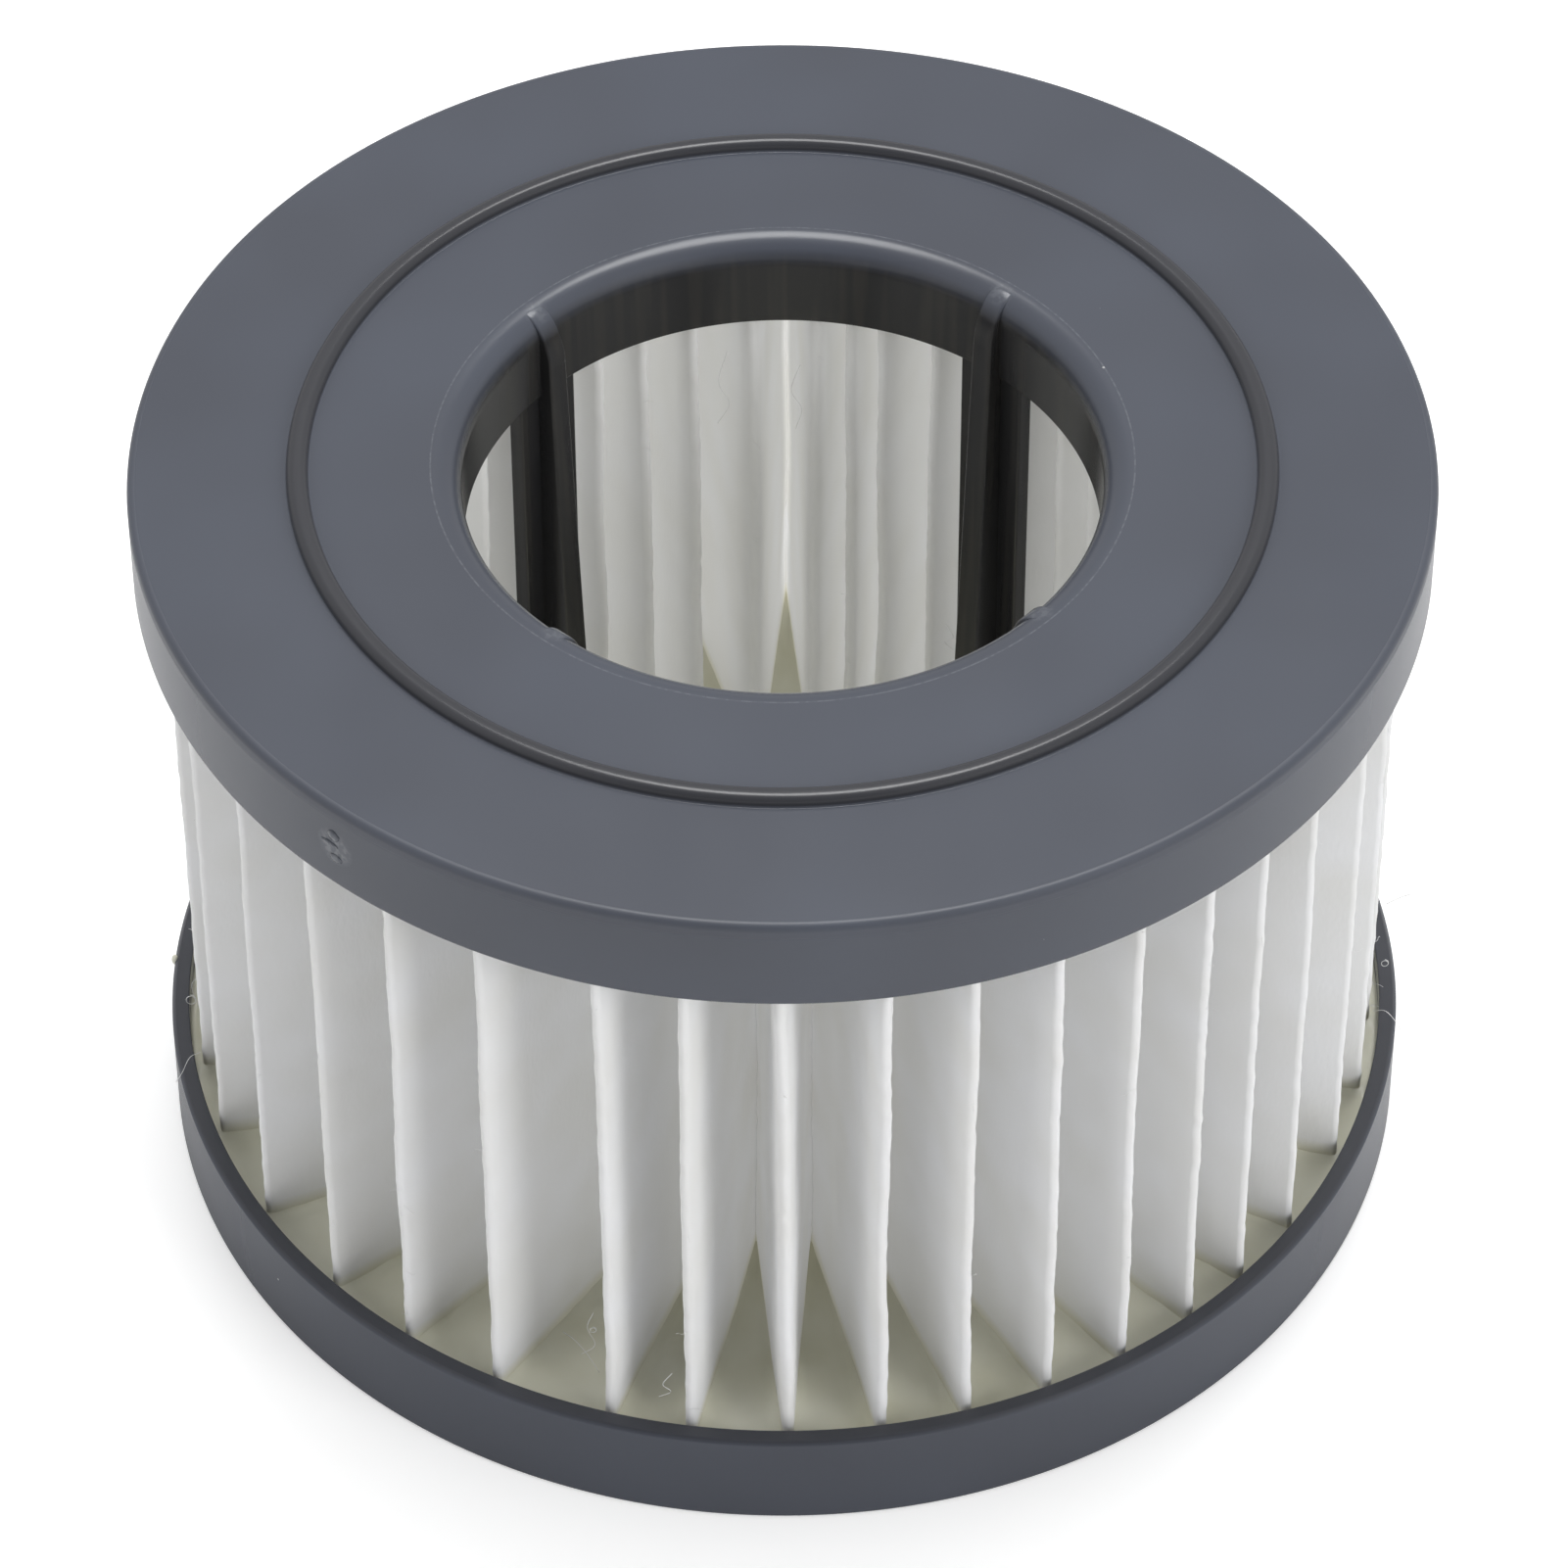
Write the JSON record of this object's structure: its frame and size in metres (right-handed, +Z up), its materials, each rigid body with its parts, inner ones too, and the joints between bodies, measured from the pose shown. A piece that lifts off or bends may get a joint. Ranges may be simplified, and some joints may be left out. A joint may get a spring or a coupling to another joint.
{
  "type": "vacuum cleaner filter",
  "caption": "Round pleated cartridge filter with a flanged top cap, an open bore as the air outlet, moulded inner legs and a closed bottom cap.",
  "frame": {"origin": "middle of the underside of the bottom cap, on the surface that the filter stands on", "axes": "+Z is up along the axis of the filter, out of the bore of the top cap; -Y is the front, through the middle of one outer fold; +X is to the right as seen from the front"},
  "size_m": [0.084, 0.084, 0.0562],
  "materials": {
    "cap_plastic": "dark grey moulded plastic with a fine satin grain",
    "filter_paper": "soft white non-woven paper",
    "adhesive": "cast olive adhesive with a level, slightly glossy surface"
  },
  "bodies": {
    "root": {"top_cap": "cap_plastic", "bottom_cap": "cap_plastic", "pleated_paper": "filter_paper", "bottom_adhesive": "adhesive", "top_adhesive": "adhesive"}
  },
  "joints": []
}
